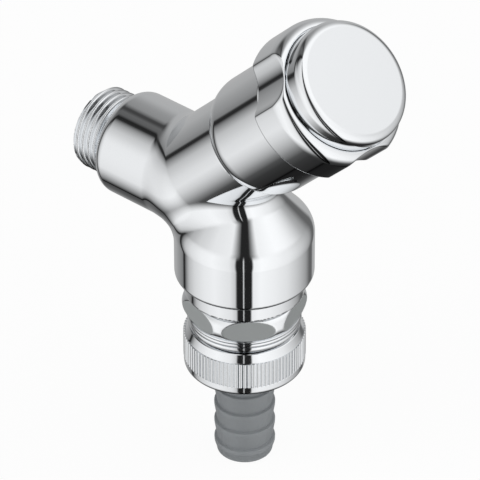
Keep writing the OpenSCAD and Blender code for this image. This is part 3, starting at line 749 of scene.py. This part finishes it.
class TAP_OT_sleeve(TapMaker, bpy.types.Operator):
    """Make the sleeve over the headwork"""

    bl_idname = "tap.sleeve"
    bl_label = "Headwork sleeve"

    def make(self, sizes, colours):
        """Drawn brass tube, polished and plated: the clearest mirror of the tap."""
        make_sleeve(chrome("chromed_drawn_brass", 8.0, (0.03, 0.05), 0.001))


class TAP_OT_hand_wheel(TapMaker, bpy.types.Operator):
    """Make the hand wheel and its cap"""

    bl_idname = "tap.hand_wheel"
    bl_label = "Hand wheel and cap"

    def make(self, sizes, colours):
        """Die-cast zinc under chromium, and a pressed cap."""
        make_hand_wheel(sizes, chrome("chromed_cast_zinc", 7.0, (0.035, 0.06), 0.002))
        make_cap(chrome("chromed_pressed_cap", 9.0, (0.04, 0.06), 0.001))


class TAP_OT_breaker(TapMaker, bpy.types.Operator):
    """Make the vacuum breaker's housing"""

    bl_idname = "tap.breaker"
    bl_label = "Vacuum breaker"

    def make(self, sizes, colours):
        """Turned brass, plated without much polishing: the flats keep a soft sheen."""
        milled = surface("chromed_milled_flats", linear("#cfd3d3"), 1.0, 0.3, (0.42, 0.52), 0.003)
        make_breaker(sizes, chrome("chromed_turned_brass", 4.0, (0.05, 0.09), 0.002), milled)


class TAP_OT_coupling_nut(TapMaker, bpy.types.Operator):
    """Make the coupling nut with its knurl"""

    bl_idname = "tap.coupling_nut"
    bl_label = "Coupling nut"

    def make(self, sizes, colours):
        """Knurled brass under chromium."""
        make_coupling_nut(sizes, chrome("chromed_knurled_brass", 3.0, (0.05, 0.09), 0.002))


class TAP_OT_hose_tail(TapMaker, bpy.types.Operator):
    """Make the barbed hose tail"""

    bl_idname = "tap.hose_tail"
    bl_label = "Hose tail"

    def make(self, sizes, colours):
        """Moulded nylon: even grey with a faint mottle of glass fibre and a soft sheen."""
        nylon = surface("moulded_glass_nylon", tuple(colours.tail), 0.0, 0.5, (0.36, 0.48), 0.012, 0.12,
                        IOR=1.53)
        make_hose_tail(sizes, nylon)


class TAP_OT_inner_parts(TapMaker, bpy.types.Operator):
    """Give the CAD nodes inside the tap their finishes"""

    bl_idname = "tap.inner_parts"
    bl_label = "Finishes of the inner parts"

    def make(self, sizes, colours):
        """Every CAD node that is still shown is one of these inner parts."""
        finishes = {
            # Turned brass straight from the lathe: warm, with a fine satin
            surface("turned_bare_brass", tuple(colours.brass), 1.0, 0.6, (0.22, 0.34), 0.006, 0.08): (
                "headwork_housing", "spindle", "valve_piston"),
            # Nitrile rubber: near black with a dull bloom
            surface("moulded_nitrile_rubber", tuple(colours.rubber),
                    0.0, 0.4, (0.55, 0.7), 0.01, 0.2, IOR=1.52): (
                "headwork_seal", "spindle_seals", "seat_washer", "breaker_gasket", "cage_seal", "poppet_seal",
                "hose_washer"),
            # Stainless steel, drawn and rolled: cool grey with fine streaks
            surface("drawn_stainless_steel", tuple(colours.steel), 1.0, 0.5, (0.2, 0.3), 0.004, 0.06): (
                "spindle_circlip", "washer_screw", "wheel_screw", "check_spring"),
            # Acetal: milky white with a waxy gloss
            surface("moulded_acetal", tuple(colours.acetal), 0.0, 0.8, (0.3, 0.4), 0.006, 0.04, IOR=1.48): (
                "spline_insert", "check_cage", "check_poppet", "spring_spider"),
            # Silicone: soft and matt
            surface("moulded_silicone", tuple(colours.silicone),
                    0.0, 0.6, (0.5, 0.62), 0.008, 0.1, IOR=1.41): (
                "vent_sleeve",),
        }
        for material, nodes in finishes.items():
            for name in nodes:
                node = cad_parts[name]
                node.data.materials.clear()
                node.data.materials.append(material)


def camera_axes():
    """Unit vectors from the object to the camera, to the picture's right and to its top."""
    a, e = CAMERA_AZIMUTH, CAMERA_ELEVATION
    back = Vector((math.sin(a) * math.cos(e), -math.cos(a) * math.cos(e), math.sin(e)))
    right = Vector((math.cos(a), math.sin(a), 0))
    up = back.cross(right)
    roll_cos, roll_sin = math.cos(CAMERA_ROLL), math.sin(CAMERA_ROLL)
    return back, right * roll_cos + up * roll_sin, up * roll_cos - right * roll_sin


def make_camera():
    """The photograph's viewpoint, aimed so that the outlet axis falls on its pixel."""
    back, right, up = camera_axes()
    aside = (OUTLET_PIXEL[0] - IMAGE_SIZE / 2) / PIXELS_PER_MM
    above = (IMAGE_SIZE / 2 - OUTLET_PIXEL[1]) / PIXELS_PER_MM
    place = Vector((OUTLET_X, 0, 0)) + back * CAMERA_DISTANCE - right * aside - up * above
    data = bpy.data.cameras.new("photo_camera")
    data.sensor_width = SENSOR
    data.lens = PIXELS_PER_MM * CAMERA_DISTANCE * SENSOR / IMAGE_SIZE
    data.clip_start, data.clip_end = 0.01, 20
    camera = bpy.data.objects.new("photo_camera", data)
    turn = Matrix((right, up, back)).transposed().to_4x4()
    camera.matrix_world = Matrix.Translation(place * MM) @ turn
    bpy.context.scene.collection.objects.link(camera)
    bpy.context.scene.camera = camera


# The light tent's wall by azimuth from the camera, in degrees: its grey, from 0 to 255, with the dark
# slot for the camera in front, a seam on each side and a plain grey wall behind the object
TENT_WALL = [(-180, 172), (-150, 166), (-128, 140), (-121, 124), (-119, 40), (-115, 40), (-112, 120),
             (-103, 188), (-90, 218), (-70, 238), (-50, 246), (-24, 232), (-15, 205), (-12.5, 34), (-2.6, 34),
             (-2.0, 225), (-0.6, 225), (0, 34), (11.5, 34), (14, 240), (26, 252), (50, 244), (74, 230),
             (98, 198), (120, 158), (133, 98), (143, 98), (150, 172), (180, 172)]
TENT_ROOF = [(-180, 148), (-162, 136), (-150, 64), (-144, 64), (-134, 96), (-122, 90), (-114, 34), (-106, 40),
             (-98, 140), (-86, 196), (-60, 228), (-26, 236), (-15, 150), (-7, 36), (9, 36), (16, 150),
             (26, 240), (60, 252), (110, 250), (140, 205), (180, 148)]
ROOF_FROM, ROOF_TO = math.radians(14), math.radians(42)
# How the tent darkens under the object, by elevation in degrees
TENT_DEPTH = [(-90, 50), (-78, 50), (-71, 58), (-64, 82), (-57, 142), (-49, 196), (-42, 229), (-34, 255),
              (90, 255)]
PLATING_GLOSS = 0.87


def tent_ramp(tree, share, stops, turn, gloss):
    """Greys of the tent as a colour ramp over the share of an angle that runs through turn degrees."""
    node = add(tree, "ShaderNodeValToRGB", ("Fac", share))
    ramp = node.color_ramp
    while len(ramp.elements) > 1:
        ramp.elements.remove(ramp.elements[0])
    for i, (degrees, grey) in enumerate(stops):
        place = degrees / turn + 0.5
        element = ramp.elements[0] if i == 0 else ramp.elements.new(place)
        element.position = place
        value = linear(f"#{grey:02x}0000")[0] / gloss
        element.color = (value, value, value, 1)
    return node.outputs["Color"]


def make_world():
    """A white light tent with its dark openings, seen in the plating. The camera itself sees plain white."""
    world = bpy.data.worlds.new("light_tent")
    bpy.context.scene.world = world
    world.use_nodes = True
    tree = world.node_tree
    tree.nodes.clear()
    a = CAMERA_AZIMUTH
    way = add(tree, "ShaderNodeTexCoord").outputs["Generated"]
    aside = add(tree, "ShaderNodeVectorMath", (0, way), (1, (math.cos(a), math.sin(a), 0)),
                operation="DOT_PRODUCT").outputs["Value"]
    towards = add(tree, "ShaderNodeVectorMath", (0, way), (1, (math.sin(a), -math.cos(a), 0)),
                  operation="DOT_PRODUCT").outputs["Value"]
    turn = add(tree, "ShaderNodeMath", (0, aside), (1, towards), operation="ARCTAN2").outputs["Value"]
    share = add(tree, "ShaderNodeMapRange", ("Value", turn), ("From Min", -math.pi), ("From Max", math.pi))
    wall = tent_ramp(tree, share.outputs["Result"], TENT_WALL, 360, PLATING_GLOSS)
    roof = tent_ramp(tree, share.outputs["Result"], TENT_ROOF, 360, PLATING_GLOSS)
    height = add(tree, "ShaderNodeSeparateXYZ", ("Vector", way)).outputs["Z"]
    rise = add(tree, "ShaderNodeMath", (0, height), operation="ARCSINE").outputs["Value"]
    lift = add(tree, "ShaderNodeMapRange", ("Value", rise), ("From Min", ROOF_FROM), ("From Max", ROOF_TO),
               interpolation_type="SMOOTHSTEP")
    tent = mixed(tree, lift.outputs["Result"], wall, roof)
    rise_share = add(tree, "ShaderNodeMapRange", ("Value", rise), ("From Min", -math.pi / 2),
                     ("From Max", math.pi / 2))
    depth = tent_ramp(tree, rise_share.outputs["Result"], TENT_DEPTH, 180, 1)
    tent = mixed(tree, 1.0, tent, depth, "MULTIPLY")
    seen = add(tree, "ShaderNodeBackground", ("Color", (1, 1, 1, 1)), ("Strength", 1.0))
    lit = add(tree, "ShaderNodeBackground", ("Color", tent), ("Strength", 1.0))
    path = add(tree, "ShaderNodeLightPath")
    both = add(tree, "ShaderNodeMixShader", ("Fac", path.outputs["Is Camera Ray"]),
               (1, lit.outputs["Background"]), (2, seen.outputs["Background"]))
    add(tree, "ShaderNodeOutputWorld", ("Surface", both.outputs["Shader"]))


# Share of the floor that the camera sees as plain white; the rest takes the soft shadow
FLOOR_GLOW = 0.94


def make_floor(colour):
    """A pale floor under the hose tail that takes its soft shadow."""
    half, foot = 2.0, (TAIL_FOOT - 0.3) * MM
    mesh = bpy.data.meshes.new("studio_floor")
    mesh.from_pydata([(-half, -half, foot), (half, -half, foot), (half, half, foot), (-half, half, foot)], [],
                     [(0, 1, 2, 3)])
    floor = bpy.data.objects.new("studio_floor", mesh)
    bpy.context.scene.collection.objects.link(floor)
    material = bpy.data.materials.new("pale_paper")
    material.use_nodes = True
    tree = material.node_tree
    tree.nodes.clear()
    paper = add(tree, "ShaderNodeBsdfDiffuse", ("Color", (*colour, 1)))
    glow = add(tree, "ShaderNodeEmission", ("Color", (*colour, 1)), ("Strength", 1.0))
    path = add(tree, "ShaderNodeLightPath")
    part = add(tree, "ShaderNodeMath", (0, path.outputs["Is Camera Ray"]), (1, FLOOR_GLOW),
               operation="MULTIPLY")
    both = add(tree, "ShaderNodeMixShader", ("Fac", part.outputs["Value"]), (1, paper.outputs["BSDF"]),
               (2, glow.outputs["Emission"]))
    add(tree, "ShaderNodeOutputMaterial", ("Surface", both.outputs["Shader"]))
    mesh.materials.append(material)
    floor.visible_glossy = False


def make_lamp():
    """A soft area lamp over the camera's left shoulder."""
    back, right, up = camera_axes()
    data = bpy.data.lights.new("soft_box", "AREA")
    data.shape, data.size, data.energy = "SQUARE", 0.7, 2.0
    lamp = bpy.data.objects.new("soft_box", data)
    target = Vector((OUTLET_X * MM, 0, 0))
    place = target + (back * 0.5 - right * 0.6 + Vector((0, 0, 0.8)))
    facing = (place - target).to_track_quat("Z", "Y")
    lamp.matrix_world = Matrix.Translation(place) @ facing.to_matrix().to_4x4()
    lamp.visible_glossy = False
    bpy.context.scene.collection.objects.link(lamp)


class TAP_OT_stage(TapMaker, bpy.types.Operator):
    """Make the floor, the light tent, the lamp and the camera"""

    bl_idname = "tap.stage"
    bl_label = "Stage"

    def make(self, sizes, colours):
        """Plain pale floor, plain soft light, the photograph's camera."""
        make_floor(tuple(colours.floor))
        make_world()
        make_lamp()
        make_camera()
        bpy.context.scene.view_settings.view_transform = "Standard"


MAKERS = [TAP_OT_casting, TAP_OT_sleeve, TAP_OT_hand_wheel, TAP_OT_breaker, TAP_OT_coupling_nut,
          TAP_OT_hose_tail, TAP_OT_inner_parts, TAP_OT_stage]


class TAP_PT_parts(bpy.types.Panel):
    """Lists the makers of the pieces with the sizes and colours that they use"""

    bl_label = "Hose tap"
    bl_space_type = "VIEW_3D"
    bl_region_type = "UI"
    bl_category = "Hose tap"

    def draw(self, context):
        """Draws one button for each maker, then the sizes and the colours."""
        for maker in MAKERS:
            self.layout.operator(maker.bl_idname)
        for group in (context.scene.tap_sizes, context.scene.tap_colours):
            for name in group.__annotations__:
                self.layout.prop(group, name)


CLASSES = [TapSizes, TapColours, *MAKERS, TAP_PT_parts]


def register():
    """Registers the classes and hangs the two groups of settings on the scene."""
    for cls in CLASSES:
        bpy.utils.register_class(cls)
    bpy.types.Scene.tap_sizes = PointerProperty(type=TapSizes)
    bpy.types.Scene.tap_colours = PointerProperty(type=TapColours)


def unregister():
    """Takes the settings and the classes away again."""
    del bpy.types.Scene.tap_sizes
    del bpy.types.Scene.tap_colours
    for cls in reversed(CLASSES):
        bpy.utils.unregister_class(cls)


def main():
    """Makes every piece and the stage."""
    register()
    for maker in MAKERS:
        operator = getattr(bpy.ops.tap, maker.bl_idname.split(".")[1])
        if operator() != {"FINISHED"}:
            raise RuntimeError(f"{maker.bl_idname} didn't finish")


if __name__ == "__main__":
    main()
